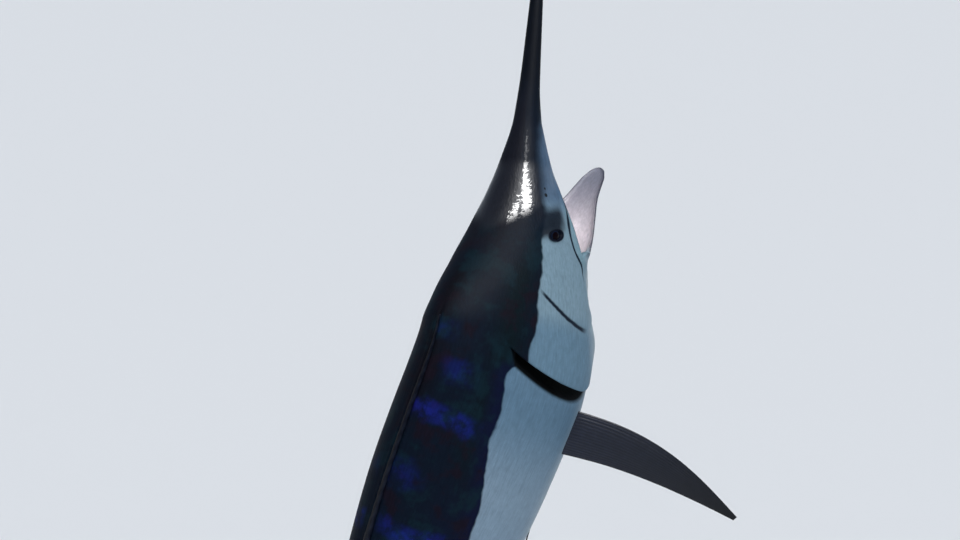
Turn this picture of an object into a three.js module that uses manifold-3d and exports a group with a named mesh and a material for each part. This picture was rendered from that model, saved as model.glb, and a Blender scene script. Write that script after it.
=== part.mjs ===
// A life-size blue marlin, leaping, on a plain display stand.
// Millimetres, +Z up, with the origin under the middle of the base.
// The fish is first drawn straight: x to its right, y towards its bill, z towards its back, with the lower
// jaw's tip at y = 0. Stations and sizes along it are in hundredths of the fork length, which runs from the
// lower jaw's tip to the fork of the tail. Then the mouth opens, the spine bends and the whole fish tilts.
import * as THREE from 'three';
import { mergeVertices } from 'three/addons/utils/BufferGeometryUtils.js';
import Module from 'manifold-3d';

const wasm = await Module();
wasm.setup();

// Driving dimensions
const forkLength = 2700;
const unit = forkLength / 100;
const partGap = 0.3;            // each side of a cut between two lengths of the body
const seatGap = 1.4;            // between a fin's root and the curved flesh under it

// Attitude of the head: the bill's climb and heading (from +y towards +x), and the roll about the bill
const headAttitude = { climb: 71.3, heading: 13.4, roll: -22.5 };
// Bends of the spine: where, over what reach to each side, degrees to the left and degrees towards the back
const bends = [
  { at: 23, reach: 6, left: 21, back: -3 },
  { at: 40, reach: 12, left: -4.3, back: 0.3 },
  { at: 76, reach: 18, left: -26, back: 0 },
];

// The body's outline: back and belly above and below the bill's axis, half the width, the level of the
// widest point, and how square the section is above and below it (2 is an ellipse)
const bodyStations = [
  { at: -22, top: 0.14, bottom: -0.14, half: 0.16, level: 0, upper: 2, lower: 2 },
  { at: -11, top: 0.62, bottom: -0.62, half: 0.7, level: 0, upper: 2, lower: 2 },
  { at: -4, top: 0.98, bottom: -0.82, half: 1.02, level: 0, upper: 2, lower: 2 },
  { at: -0.5, top: 1.3, bottom: -0.92, half: 1.28, level: 0, upper: 2.1, lower: 2.1 },
  { at: 0, top: 1.35, bottom: -1.5, half: 1.34, level: 0, upper: 2.1, lower: 2.1 },
  { at: 3.5, top: 2.15, bottom: -2.6, half: 2.2, level: -0.1, upper: 2.2, lower: 2.3 },
  { at: 7.2, top: 3.35, bottom: -3.8, half: 3.4, level: -0.2, upper: 2.2, lower: 2.5 },
  { at: 10.5, top: 4.95, bottom: -5, half: 4.7, level: -0.4, upper: 2.1, lower: 2.6 },
  { at: 14, top: 7.5, bottom: -6.6, half: 5.7, level: -0.4, upper: 1.95, lower: 2.6 },
  { at: 18, top: 10.5, bottom: -8.3, half: 6.35, level: -0.2, upper: 1.85, lower: 2.35 },
  { at: 21, top: 11.7, bottom: -9.4, half: 6.6, level: 0, upper: 1.85, lower: 2.2 },
  { at: 26, top: 11.9, bottom: -10.4, half: 6.8, level: 0.2, upper: 1.9, lower: 2.2 },
  { at: 34, top: 11.3, bottom: -10.7, half: 6.7, level: 0.2, upper: 1.95, lower: 2.15 },
  { at: 46, top: 9.7, bottom: -9.6, half: 5.9, level: 0.1, upper: 2, lower: 2.1 },
  { at: 58, top: 8, bottom: -7.9, half: 4.75, level: 0, upper: 2, lower: 2.05 },
  { at: 70, top: 5.8, bottom: -5.8, half: 3.55, level: 0, upper: 2, lower: 2 },
  { at: 82, top: 3.6, bottom: -3.7, half: 2.4, level: 0, upper: 2, lower: 2 },
  { at: 91, top: 2.1, bottom: -2.1, half: 1.6, level: 0, upper: 2, lower: 2 },
  { at: 96.5, top: 2.3, bottom: -2.3, half: 0.95, level: 0, upper: 2, lower: 2 },
];
const cuts = { bill: -0.5, head: 18, shoulder: 36, middle: 56, rear: 80, tailRoot: 96.5 };

// The mouth: the lips' line, the hinge, the gape and the throat that sinks with it
const mouth = { lipFront: -0.9, lipSlope: -0.205, corner: 13.2, hinge: { at: 13.8, up: -4.1 }, gape: 50 };
const throat = { end: 21, drop: 2.6, flare: 0.1 };
// The gill covers: the angles round the body where their edges lie, the furthest back they reach and how
// much less at their two ends, the plate's thickness, its flare, and the slit behind it
const gill = {
  top: 37, rearmost: -15, bottom: -64, reach: 23.95, lessAtTop: 1.85, lessAtBottom: 3.2,
  thick: 0.75, edge: 0.14, flare: 0.8, slit: 1.25, depth: 2.3,
};
const eye = { at: 11.05, up: 0.65, radius: 1.1, proud: 0.42 };

const degree = Math.PI / 180;
const clamp01 = (x) => Math.min(1, Math.max(0, x));
const mix = (a, b, t) => a + (b - a) * t;
function ease(from, to, x) {
  const t = clamp01((x - from) / (to - from));
  return t * t * (3 - 2 * t);
}

// A smooth curve through stations that makes no bumps between them
function through(rows, key) {
  const x = rows.map((row) => row.at);
  const y = rows.map((row) => row[key]);
  const step = x.slice(1).map((value, i) => value - x[i]);
  const rise = step.map((value, i) => (y[i + 1] - y[i]) / value);
  const slope = y.map((value, i) => {
    if (i === 0) return rise[0];
    if (i === y.length - 1) return rise[i - 1];
    if (rise[i - 1] * rise[i] <= 0) return 0;
    const a = 2 * step[i] + step[i - 1];
    const b = step[i] + 2 * step[i - 1];
    return (a + b) / (a / rise[i - 1] + b / rise[i]);
  });
  return (at) => {
    const s = Math.min(x[x.length - 1], Math.max(x[0], at));
    let i = 0;
    while (i < x.length - 2 && s > x[i + 1]) i += 1;
    const t = (s - x[i]) / step[i];
    const u = 1 - t;
    const bulge = t * u * (u * slope[i] - t * slope[i + 1]) * step[i];
    return y[i] * u * u * (1 + 2 * t) + y[i + 1] * t * t * (3 - 2 * t) + bulge;
  };
}
const bodyKeys = ['top', 'bottom', 'half', 'level', 'upper', 'lower'];
const outline = Object.fromEntries(bodyKeys.map((key) => [key, through(bodyStations, key)]));

// A point of the straight fish: station, angle round the section (0 at its right, 90 at its back) and an
// outward shift
function bodyPoint(at, angle, shift = 0) {
  const c = Math.cos(angle * degree);
  const s = Math.sin(angle * degree);
  const level = outline.level(at);
  const reach = s > 0 ? outline.top(at) - level : level - outline.bottom(at);
  const power = 2 / (s > 0 ? outline.upper(at) : outline.lower(at));
  const x = outline.half(at) * Math.sign(c) * Math.abs(c) ** power;
  const z = reach * Math.sign(s) * Math.abs(s) ** power;
  const length = Math.hypot(x, z) || 1;
  return new THREE.Vector3(x * (1 + shift / length), -at, level + z * (1 + shift / length));
}
const lipLine = (at) => mouth.lipFront + mouth.lipSlope * at;

// Opens the mouth: the jaw and what lies under the lips' line behind it turn about the hinge, less and less
// towards the throat's end, while the throat sinks and spreads
function opened(p, isJaw = false) {
  const at = -p.y;
  const under = lipLine(at) - p.z;
  if (!isJaw && (under <= 0 || at < mouth.corner || at >= throat.end + 3)) return p.clone();
  const share = isJaw ? 1 : ease(0, 1.2 + 0.3 * (at - mouth.corner), under);
  const turn = mouth.gape * degree * share * (1 - ease(mouth.corner, throat.end, at));
  const forward = mouth.hinge.at - at;
  const up = p.z - mouth.hinge.up;
  const sunk = ease(8, 14, at) * (1 - ease(15, throat.end + 3, at)) * ease(0, 3.5, under);
  return new THREE.Vector3(
    p.x * (1 + throat.flare * sunk),
    forward * Math.cos(turn) + up * Math.sin(turn) - mouth.hinge.at,
    mouth.hinge.up - forward * Math.sin(turn) + up * Math.cos(turn) - throat.drop * sunk,
  );
}

// The bent spine as a table of frames along it, then the tilt of the whole fish
const spineStep = 0.25;
const spineStart = -24;
const spine = [];
function bendAt(at, key) {
  return bends.reduce((sum, b) => sum + b[key] * ease(b.at - b.reach, b.at + b.reach, at), 0) * degree;
}
for (let at = spineStart, point = new THREE.Vector3(0, -spineStart, 0); at <= 118; at += spineStep) {
  const left = bendAt(at, 'left');
  const back = bendAt(at, 'back');
  const right = new THREE.Vector3(Math.cos(left), -Math.sin(left), 0);
  const level = Math.cos(back);
  const forward = new THREE.Vector3(Math.sin(left) * level, Math.cos(left) * level, Math.sin(back));
  const up = new THREE.Vector3().crossVectors(right, forward);
  spine.push({ point: point.clone(), right, up });
  point = point.clone().addScaledVector(forward, -spineStep);
}
const tilt = new THREE.Matrix4()
  .makeRotationZ(-headAttitude.heading * degree)
  .multiply(new THREE.Matrix4().makeRotationX(headAttitude.climb * degree))
  .multiply(new THREE.Matrix4().makeRotationY(headAttitude.roll * degree));
// Where the lower jaw's closed tip comes to, so that the fish's weight is over the base's centre
const lift = new THREE.Vector3(220, 260, 3128);
function bent(p) {
  const place = (-p.y - spineStart) / spineStep;
  const i = Math.min(spine.length - 2, Math.max(0, Math.floor(place)));
  const t = place - i;
  const a = spine[i];
  const b = spine[i + 1];
  const point = a.point.clone().lerp(b.point, t);
  const right = a.right.clone().lerp(b.right, t);
  const up = a.up.clone().lerp(b.up, t);
  return point.addScaledVector(right, p.x).addScaledVector(up, p.z);
}
const posed = (p) => bent(p).multiplyScalar(unit).applyMatrix4(tilt).add(lift);

// Turns a closed mesh's faces outwards, where a rule has turned it inside out
function turnedOut(geometry) {
  const index = geometry.index.array;
  const [a, b, c] = [new THREE.Vector3(), new THREE.Vector3(), new THREE.Vector3()];
  let volume = 0;
  for (let i = 0; i < index.length; i += 3) {
    a.fromBufferAttribute(geometry.attributes.position, index[i]);
    b.fromBufferAttribute(geometry.attributes.position, index[i + 1]);
    c.fromBufferAttribute(geometry.attributes.position, index[i + 2]);
    volume += a.dot(b.cross(c));
  }
  if (volume < 0) {
    for (let i = 0; i < index.length; i += 3) [index[i + 1], index[i + 2]] = [index[i + 2], index[i + 1]];
  }
  return geometry;
}
// Meshes: a primitive whose vertices are moved by a rule, and solids for cuts
function moved(geometry, rule) {
  const result = geometry.clone();
  result.deleteAttribute('normal');
  result.deleteAttribute('uv');
  const position = result.attributes.position;
  const p = new THREE.Vector3();
  for (let i = 0; i < position.count; i += 1) {
    const q = rule(p.fromBufferAttribute(position, i).clone());
    position.setXYZ(i, q.x, q.y, q.z);
  }
  const merged = mergeVertices(result, 1e-5);
  return turnedOut(merged);
}
// A length of the body, from a cylinder: its rings become sections, its ends become flat cuts
function bodyLength(from, to, rings, around, stretch = (t) => t) {
  return moved(new THREE.CylinderGeometry(1, 1, 1, around, rings), (p) => {
    const at = mix(from, to, stretch(0.5 - p.y));
    const radius = Math.hypot(p.x, p.z);
    const centre = new THREE.Vector3(0, -at, outline.level(at));
    return radius < 0.5 ? centre : bodyPoint(at, Math.atan2(p.z, p.x) / degree);
  });
}
// A blade or slab, from a box: u along it, v across it, side -1 or 1 for its two faces
function slab(along, across, rule) {
  const box = new THREE.BoxGeometry(1, 1, 1, 1, along, across);
  return moved(box, (p) => rule(p.y + 0.5, p.z + 0.5, Math.sign(p.x)));
}
function toSolid(geometry) {
  return new wasm.Manifold(new wasm.Mesh({
    numProp: 3,
    vertProperties: new Float32Array(geometry.attributes.position.array),
    triVerts: new Uint32Array(geometry.index.array),
  }));
}
function toGeometry(solid) {
  const mesh = solid.getMesh();
  const geometry = new THREE.BufferGeometry();
  geometry.setAttribute('position', new THREE.BufferAttribute(new Float32Array(mesh.vertProperties), 3));
  geometry.setIndex(new THREE.BufferAttribute(new Uint32Array(mesh.triVerts), 1));
  return geometry;
}
// Cuts a solid back until it is clear of a neighbour, also of the neighbour moved by each of the shifts
function clearOf(solid, neighbour, shifts) {
  return [[0, 0, 0], ...shifts].reduce((left, shift) => {
    const block = neighbour.clone().translate(...shift);
    return left.subtract(toSolid(block));
  }, solid);
}
const fish = new THREE.Group();
function add(name, geometry, colour, roughness = 0.35) {
  const material = new THREE.MeshStandardMaterial({ color: colour, roughness, metalness: 0 });
  const mesh = new THREE.Mesh(geometry, material);
  mesh.name = name;
  fish.add(mesh);
  return mesh;
}

const gap = partGap / unit;
const seat = seatGap / unit;
const clear = 2 * gap;
const dark = 0x1a1c2a;
const pale = 0x8ea9b4;
// What the fish is made of, still straight and in hundredths; finish() opens, bends, tilts and names it
function finish(name, geometry, colour, roughness, rule = opened) {
  return add(name, moved(geometry, (p) => posed(rule(p))), colour, roughness);
}
const both = [{ side: 1, word: 'right' }, { side: -1, word: 'left' }];

// Bill, from its tip to just before the lower jaw's tip, its rings closer where it is thin
finish('bill', bodyLength(-22, cuts.bill - gap, 12, 14), dark, 0.3);

// Head: skull, cheeks and throat as far as the gill covers, less the mouth and the eyes' sockets
function eyePlace(side) {
  const { at, up } = eye;
  const level = outline.level(at);
  const share = (up - level) / (outline.top(at) - level);
  const angle = Math.asin(share ** (outline.upper(at) / 2)) / degree;
  const place = bodyPoint(at, angle, -(eye.radius - eye.proud));
  place.x *= side;
  return place;
}
function sphere(radius, place) {
  return moved(new THREE.SphereGeometry(radius, 14, 9), (p) => p.add(place));
}
function prism(corners, halfWidth) {
  const shape = new THREE.Shape(corners.map(([at, z]) => new THREE.Vector2(-at, z)));
  const block = new THREE.ExtrudeGeometry(shape, { depth: 2 * halfWidth, bevelEnabled: false });
  return moved(block, (p) => new THREE.Vector3(halfWidth - p.z, p.x, p.y));
}
function jawBlock(grow) {
  const top = (at) => lipLine(at) + grow;
  const back = mouth.corner + grow;
  return toSolid(prism([[-3, top(-3)], [-3, -20], [back, -20], [back, top(back)]], 12));
}
// The mouth's hollow: a trough in each jaw that deepens towards the gullet
const hollow = { from: 0.8, to: 17 };
function hollowSolid() {
  return toSolid(moved(new THREE.CylinderGeometry(1, 1, 1, 12, 8), (p) => {
    const at = mix(hollow.from, hollow.to, 0.5 - p.y);
    const radius = Math.hypot(p.x, p.z);
    const half = Math.max(0.25, 0.8 * outline.half(at) - 0.55) * (1 - 0.5 * ease(12, hollow.to, at));
    const above = 0.15 + 1.15 * ease(0.5, 10, at);
    const below = 0.18 + 0.62 * (lipLine(at) - outline.bottom(at) - 0.3) * ease(0.5, 8, at);
    const z = p.z > 0 ? p.z * above : p.z * below;
    return new THREE.Vector3(radius < 0.5 ? 0 : p.x * half, -at, lipLine(at) + (radius < 0.5 ? 0 : z));
  }));
}
const wholeHead = toSolid(bodyLength(cuts.bill + gap, cuts.head - gap, 16, 28));
const mouthHollow = hollowSolid();
let skull = wholeHead.subtract(jawBlock(gap)).subtract(mouthHollow);
both.forEach(({ side }) => {
  skull = skull.subtract(toSolid(sphere(eye.radius + 2 * gap, eyePlace(side))));
});
const skullOpen = moved(toGeometry(skull), (p) => opened(p));
finish('head', skullOpen, pale, 0.35, (p) => p);
both.forEach(({ side, word }) => finish(`eye_${word}`, sphere(eye.radius, eyePlace(side)), 0x0c0d12, 0.08));

// Lower jaw: turned down whole, its tip drawn in, and kept clear of the throat behind it
const jawTip = 1.5;
function jawRule(p) {
  const narrow = 0.35 + 0.65 * Math.sqrt(clamp01(-p.y / jawTip));
  return opened(new THREE.Vector3(p.x * narrow, p.y, p.z), true);
}
const jawOuter = toSolid(bodyLength(0, mouth.corner - gap, 9, 28));
const jawClosed = jawOuter.intersect(jawBlock(-gap)).subtract(mouthHollow);
let jaw = toSolid(moved(toGeometry(jawClosed), jawRule));
jaw = clearOf(jaw, skullOpen, [[0, clear, 0], [0, 0, -clear]]);
finish('lower_jaw', toGeometry(jaw), pale, 0.35, (p) => p);

// Gill covers: plates flared at their rear edge, over the narrowed shoulder
function gillRear(angle) {
  const above = angle > gill.rearmost;
  const away = (angle - gill.rearmost) / ((above ? gill.top : gill.bottom) - gill.rearmost);
  return gill.reach - (above ? gill.lessAtTop : gill.lessAtBottom) * away ** 2;
}
function gillPoint(u, v, shift, extra, side) {
  const angle = mix(gill.bottom, gill.top, v);
  const at = mix(cuts.head, gillRear(angle) + extra, u);
  const p = bodyPoint(at, angle, shift);
  p.x *= side;
  return p;
}
const lifted = (u, v) => gill.flare * ease(0, 1, u) * ease(0, 0.55, v) * ease(0, 0.45, 1 - v);
function coverPlate(side) {
  const inset = 0.02;
  return slab(6, 8, (u, v, face) => {
    const edge = ease(0, 0.25, 1 - u) * ease(0, 0.1, v) * ease(0, 0.1, 1 - v);
    const thick = mix(gill.edge, gill.thick, u < 0.01 ? 1 : edge);
    const shift = lifted(u, v) - (face < 0 ? thick : 0);
    return gillPoint(mix(gap / 2, 1, u), mix(inset, 1 - inset, v), shift, 0, side);
  });
}
function gillChamber(side) {
  return slab(6, 8, (u, v, face) => {
    const open = gill.slit * ease(0, 0.4, 1 - v) * ease(-0.2, 0.3, v) + 0.25;
    const deep = gill.thick + gap + (gill.depth - gill.thick) * ease(0.1, 0.9, u);
    return gillPoint(mix(-0.1, 1, u), v, face < 0 ? -deep : 3, open, side);
  });
}
let shoulder = toSolid(moved(bodyLength(cuts.head + gap, cuts.shoulder - gap, 12, 28), (p) => opened(p)));
both.forEach(({ side }) => {
  shoulder = shoulder.subtract(toSolid(moved(gillChamber(side), (p) => opened(p))));
});
const shoulderOpen = toGeometry(shoulder);
finish('trunk_front', shoulderOpen, dark, 0.35, (p) => p);
both.forEach(({ side, word }) => {
  let plate = toSolid(moved(coverPlate(side), (p) => opened(p)));
  plate = clearOf(plate, skullOpen, [[0, -clear, 0], [side * clear, 0, 0]]);
  plate = clearOf(plate, shoulderOpen, [[0, clear, 0], [side * clear, 0, 0]]);
  finish(`gill_cover_${word}`, toGeometry(plate), pale, 0.35, (p) => p);
});

// The rest of the body
finish('trunk_middle', bodyLength(cuts.shoulder + gap, cuts.middle - gap, 8, 28), dark);
finish('trunk_rear', bodyLength(cuts.middle + gap, cuts.rear - gap, 9, 24), dark);
const keel = { from: 91, to: 96.2, up: 0.75, out: 1.15, edge: 0.05, thick: 0.28 };
function keelFin(side, up) {
  return slab(5, 1, (u, v, face) => {
    const at = mix(keel.from, keel.to, u);
    const inner = outline.half(at) * 0.6;
    const outer = outline.half(at) + keel.edge + keel.out * Math.sin(Math.PI * u * 0.85) ** 1.5;
    const thick = keel.thick * (1 - 0.7 * v);
    return new THREE.Vector3(side * mix(inner, outer, v), -at, up * (keel.up - 0.25 * u) + face * thick);
  });
}
let stock = toSolid(bodyLength(cuts.rear + gap, cuts.tailRoot, 8, 20));
both.forEach(({ side }) => {
  [1, -1].forEach((up) => { stock = stock.add(toSolid(keelFin(side, up))); });
});
finish('tail_stock', toGeometry(stock), dark);

// A quadratic arc from a to c, drawn towards b, at t
function arc(a, b, c, t) {
  const u = 1 - t;
  return [0, 1].map((i) => u * u * a[i] + 2 * u * t * b[i] + t * t * c[i]);
}
const blunt = 0.03;
// Tail lobes: a crescent in the fish's middle plane, thick at the root
const lobe = {
  lead: [[96.55, 2.3], [99.5, 14.5], [112.5, 25]],
  trail: [[100, 0.03], [104.5, 10.5], [112.7, 24.8]],
};
function tailLobe(up) {
  const rootPart = 0.14;
  return slab(4, 12, (u, v, face) => {
    const t = clamp01((v - rootPart) / (1 - rootPart));
    const r = clamp01(v / rootPart);
    const front = arc(...lobe.lead, v);
    const fork = [mix(cuts.tailRoot + gap, lobe.trail[0][0], r), lobe.trail[0][1]];
    const rear = v < rootPart ? fork : arc(...lobe.trail, t);
    if (v === 0) front[0] = cuts.tailRoot + gap;
    const at = mix(front[0], rear[0], u);
    const z = mix(front[1], rear[1], u);
    const body = Math.sin(Math.PI * clamp01(u * 0.9 + 0.05)) ** 0.7;
    const half = blunt + 0.62 * body * (1 - v) ** 1.6 * (1 - 0.75 * r * u);
    return new THREE.Vector3(face * half, -at, up * z);
  });
}
finish('tail_lobe_upper', tailLobe(1), dark, 0.45);
finish('tail_lobe_lower', tailLobe(-1), dark, 0.45);

// Fins of the back and belly: sails on a seam of the body, from a height and a slope along it
function sail({ from, to, height, slope, sway = 0, thick = 0.3, up = 1, along = 20, across = 2 }) {
  const crest = up > 0 ? outline.top : outline.bottom;
  return slab(along, across, (u, v, face) => {
    const at = mix(from, to, u);
    const tall = Math.max(0.12, height(u));
    const x = sway * v * Math.sin(u * Math.PI * 2.2) * tall;
    const half = mix(thick * Math.sin(Math.PI * mix(0.08, 0.92, u)), blunt, v ** 0.7) + 0.01;
    const z = crest(at) + up * (seat + tall * v);
    return new THREE.Vector3(x + face * half, -(at + slope(u) * tall * v), z);
  });
}
// The first dorsal fin is folded down, so that only a low ridge of it shows
finish('first_dorsal_fin', sail({
  from: 20.4, to: 75, along: 30, sway: 0.1, thick: 0.2,
  height: (u) => 0.12 + 0.38 * ease(0, 0.12, u) + 0.55 * ease(0.3, 0.6, u) * (1 - ease(0.75, 1, u)),
  slope: () => 1.5,
}), dark, 0.4);
finish('second_dorsal_fin', sail({
  from: 80.3, to: 86, along: 10, thick: 0.22,
  height: (u) => 3.4 * ease(0, 0.22, u) * (1 - 0.82 * ease(0.2, 0.9, u)),
  slope: (u) => 1.1 + 0.9 * u,
}), dark, 0.4);
finish('first_anal_fin', sail({
  from: 60.5, to: 74.5, up: -1, along: 14, across: 3,
  height: (u) => 9.5 * ease(-0.03, 0.2, u) * (1 - 0.86 * ease(0.12, 0.75, u)),
  slope: () => 0.95,
}), dark, 0.4);
finish('second_anal_fin', sail({
  from: 79, to: 84.6, up: -1, along: 10, thick: 0.22,
  height: (u) => 3.2 * ease(0, 0.22, u) * (1 - 0.82 * ease(0.2, 0.9, u)),
  slope: (u) => 1.1 + 0.9 * u,
}), dark, 0.4);

// Paired fins: a swept blade on its own plane; root is its place on the body, droop turns the plane down
function pairedFin(side, { at, angle, lead, trail, droop, thick, along = 3, across = 9 }) {
  const root = bodyPoint(at, angle, seat + thick);
  const out = new THREE.Vector3(Math.cos(droop * degree), 0, -Math.sin(droop * degree));
  return slab(along, across, (u, v, face) => {
    const a = arc(...lead, v);
    const b = arc(...trail, v);
    const half = blunt + thick * Math.sin(Math.PI * mix(0.1, 0.92, u)) * (1 - v) ** 0.8;
    const p = root.clone().addScaledVector(out, mix(a[0], b[0], u));
    p.y -= mix(a[1], b[1], u);
    p.x += face * half * Math.sin(droop * degree);
    p.z += face * half * Math.cos(droop * degree);
    p.x *= side;
    return p;
  });
}
const pectoral = {
  at: 25.6, angle: -36, droop: 38, thick: 0.3,
  lead: [[0, 0], [9, -0.6], [18, 3]], trail: [[0, 4.1], [6, 2.5], [17.8, 3.4]],
};
const pelvic = {
  at: 27, angle: -80, droop: 62, thick: 0.14,
  lead: [[0, 0], [0.9, 7], [1.6, 14]], trail: [[0, 1], [0.7, 7], [1.5, 14.1]],
};
both.forEach(({ side, word }) => {
  finish(`pectoral_fin_${word}`, pairedFin(side, pectoral), dark, 0.4);
  finish(`pelvic_fin_${word}`, pairedFin(side, pelvic), dark, 0.4);
});

// Display stand: a flat base with round corners, and two upright rods cut to the flesh that they carry
const base = { width: 1300, depth: 1100, thick: 40, corner: 60, chamfer: 4 };
const rods = [
  { name: 'stand_rod_front', at: 50, radius: 22 },
  { name: 'stand_rod_rear', at: 76.4, radius: 17 },
];
const rodSink = 5;              // how far a rod reaches into its hole in the base
const rodOver = 110;            // how far a rod runs on inside the flesh before it is cut
const rodTopGap = 1.5;          // straight down, between the flesh and a rod's slanting top
function roundedRectangle(width, depth, corner) {
  const shape = new THREE.Shape();
  const [x, y] = [width / 2 - corner, depth / 2 - corner];
  shape.absarc(x, y, corner, 0, Math.PI / 2);
  shape.absarc(-x, y, corner, Math.PI / 2, Math.PI);
  shape.absarc(-x, -y, corner, Math.PI, Math.PI * 1.5);
  shape.absarc(x, -y, corner, Math.PI * 1.5, Math.PI * 2);
  return shape;
}
function boardSolid() {
  const inner = base.chamfer;
  const shape = roundedRectangle(base.width - 2 * inner, base.depth - 2 * inner, base.corner - inner);
  const board = new THREE.ExtrudeGeometry(shape, {
    depth: base.thick - 2 * inner,
    bevelThickness: inner,
    bevelSize: inner,
    bevelSegments: 1,
    curveSegments: 6,
  });
  board.translate(0, 0, inner);
  return toSolid(moved(board, (p) => p));
}
function pillar(radius, bottom, top, foot) {
  const shaft = new THREE.CylinderGeometry(radius, radius, top - bottom, 20);
  shaft.rotateX(Math.PI / 2);
  shaft.translate(foot.x, foot.y, (top + bottom) / 2);
  return toSolid(moved(shaft, (p) => p));
}
function partSolid(name, down = 0) {
  return toSolid(fish.getObjectByName(name).geometry.clone().translate(0, 0, -down));
}
let board = boardSolid();
rods.forEach(({ name, at, radius }) => {
  const foot = posed(bodyPoint(at, -90));
  board = board.subtract(pillar(radius + partGap, base.thick - rodSink, base.thick + rodSink, foot));
  let rod = pillar(radius, base.thick - rodSink + partGap, foot.z + rodOver, foot);
  ['trunk_middle', 'trunk_rear'].forEach((part) => {
    rod = rod.subtract(partSolid(part)).subtract(partSolid(part, rodTopGap));
  });
  // What is left above the flesh is dropped: only the piece that stands on the base is kept
  const pieces = rod.decompose();
  const lowest = pieces.reduce((a, b) => (b.boundingBox().min[2] < a.boundingBox().min[2] ? b : a));
  add(name, toGeometry(lowest), 0xb4b8ba, 0.3);
});
add('stand_base', toGeometry(board), 0x16181a, 0.4);

export default fish;
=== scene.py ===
# A life-size blue marlin, leaping, on a display stand: skin, eyes, fins, stand finishes, light and camera
import math
from functools import partial

import bmesh
import bpy
import numpy as np
from mathutils import Matrix, Vector


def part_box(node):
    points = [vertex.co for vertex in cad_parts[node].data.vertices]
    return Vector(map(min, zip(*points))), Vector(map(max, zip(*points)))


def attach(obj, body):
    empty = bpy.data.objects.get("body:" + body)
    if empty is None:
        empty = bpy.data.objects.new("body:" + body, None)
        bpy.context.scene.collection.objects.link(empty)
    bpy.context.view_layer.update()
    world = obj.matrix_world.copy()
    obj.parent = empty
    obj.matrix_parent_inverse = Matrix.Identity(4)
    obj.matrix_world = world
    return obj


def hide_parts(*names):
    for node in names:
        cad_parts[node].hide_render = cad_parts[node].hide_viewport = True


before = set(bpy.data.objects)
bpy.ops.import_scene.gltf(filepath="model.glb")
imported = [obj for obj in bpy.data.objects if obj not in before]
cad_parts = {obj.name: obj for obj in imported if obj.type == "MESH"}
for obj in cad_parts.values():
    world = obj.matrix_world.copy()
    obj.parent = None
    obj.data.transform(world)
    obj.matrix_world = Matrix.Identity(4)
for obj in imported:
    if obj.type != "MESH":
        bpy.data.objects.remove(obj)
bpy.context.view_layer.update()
scene = bpy.context.scene
print("frame loaded")

# The fish is drawn straight first: x to its right, y towards its bill, z towards its back, the jaw's tip at
# y = 0. Places along it are stations, in hundredths of the fork length; angles round it are 0 at its side
# and 90 at its back.
fish = {
    "forkLength": 2.7,  # metres
    "climb": 71.3, "heading": 13.4, "roll": -22.5,  # degrees, of the head
    "billTip": -22.16, "tipLength": 0.26,  # the bill's point and the part that is rounded off
    # where the spine bends, over what reach to each side, degrees to the left and towards the back
    "bends": [(23, 6, 21, -3), (40, 12, -4.3, 0.3), (76, 18, -26, 0)],
    # station, back, belly, half width, level of the widest point, squareness above and below it
    "stations": [
        (-22, 0.14, -0.14, 0.16, 0, 2, 2), (-11, 0.62, -0.62, 0.7, 0, 2, 2), (-4, 0.98, -0.82, 1.02, 0, 2, 2),
        (-0.5, 1.3, -0.92, 1.28, 0, 2.1, 2.1), (0, 1.35, -1.5, 1.34, 0, 2.1, 2.1),
        (3.5, 2.15, -2.6, 2.2, -0.1, 2.2, 2.3), (7.2, 3.35, -3.8, 3.4, -0.2, 2.2, 2.5),
        (10.5, 4.95, -5, 4.7, -0.4, 2.1, 2.6), (14, 7.5, -6.6, 5.7, -0.4, 1.95, 2.6),
        (18, 10.5, -8.3, 6.35, -0.2, 1.85, 2.35), (21, 11.7, -9.4, 6.6, 0, 1.85, 2.2),
        (26, 11.9, -10.4, 6.8, 0.2, 1.9, 2.2), (34, 11.3, -10.7, 6.7, 0.2, 1.95, 2.15),
        (46, 9.7, -9.6, 5.9, 0.1, 2, 2.1), (58, 8, -7.9, 4.75, 0, 2, 2.05), (70, 5.8, -5.8, 3.55, 0, 2, 2),
        (82, 3.6, -3.7, 2.4, 0, 2, 2), (91, 2.1, -2.1, 1.6, 0, 2, 2), (96.5, 2.3, -2.3, 0.95, 0, 2, 2),
    ],
}
mouth = {
    "lipFront": -0.9, "lipSlope": -0.205, "corner": 13.2, "hingeAt": 13.8, "hingeUp": -4.1, "gape": 50,
    "cornerReach": 1.5,  # the length over which the jaw's edge goes over into the cheek
    "throatFrom": 8, "throatEnd": 21, "throatDrop": 2.6, "throatFlare": 0.1, "gullet": 17,
    "jawTip": 1.5, "tipNarrow": 0.35, "lipWidth": 0.3, "lipThicker": 0.45,
}
gill = {
    "top": 37, "rearmost": -15, "bottom": -64, "reach": 23.95, "lessAtTop": 1.85, "lessAtBottom": 3.2,
    "head": 18, "flare": 0.8,
    "openTop": 30, "openBottom": -46,  # the slit is fully open between these angles
    "drawnFrom": 16, "drawnTo": 28,  # between these stations rows are drawn towards the cover's edge
}
eye = {
    "at": 11.05, "up": 0.65, "radius": 1.1, "proud": 0.42, "pupil": 0.44, "iris": 0.62, "cornea": 0.04,
    # the opening between the lids, and the dark ring painted round it as the socket's shade: middle, half
    # length and half height
    "lid": (11.22, 0.64, 0.45, 0.84), "eyeRingShade": (11.25, 0.6, 0.6, 1.12), "skew": (0.2, 0.22),
    # how far back and how deep the ball sits, and how its pupil is turned
    "setBack": 0.25, "sunk": 0.28, "gaze": (0, 0, 0.02),
}
unit = fish["forkLength"] / 100


def ease(low, high, x):
    t = np.clip((np.asarray(x, float) - low) / (high - low), 0, 1)
    return t * t * (3 - 2 * t)


def hump(x, middle, width):
    return np.exp(-((np.asarray(x, float) - middle) / width) ** 2)


# Rises from 0 at a to 1 at b, and falls from 1 at c to 0 at d
def between(x, a, b, c, d):
    return ease(a, b, x) * (1 - ease(c, d, x))


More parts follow.
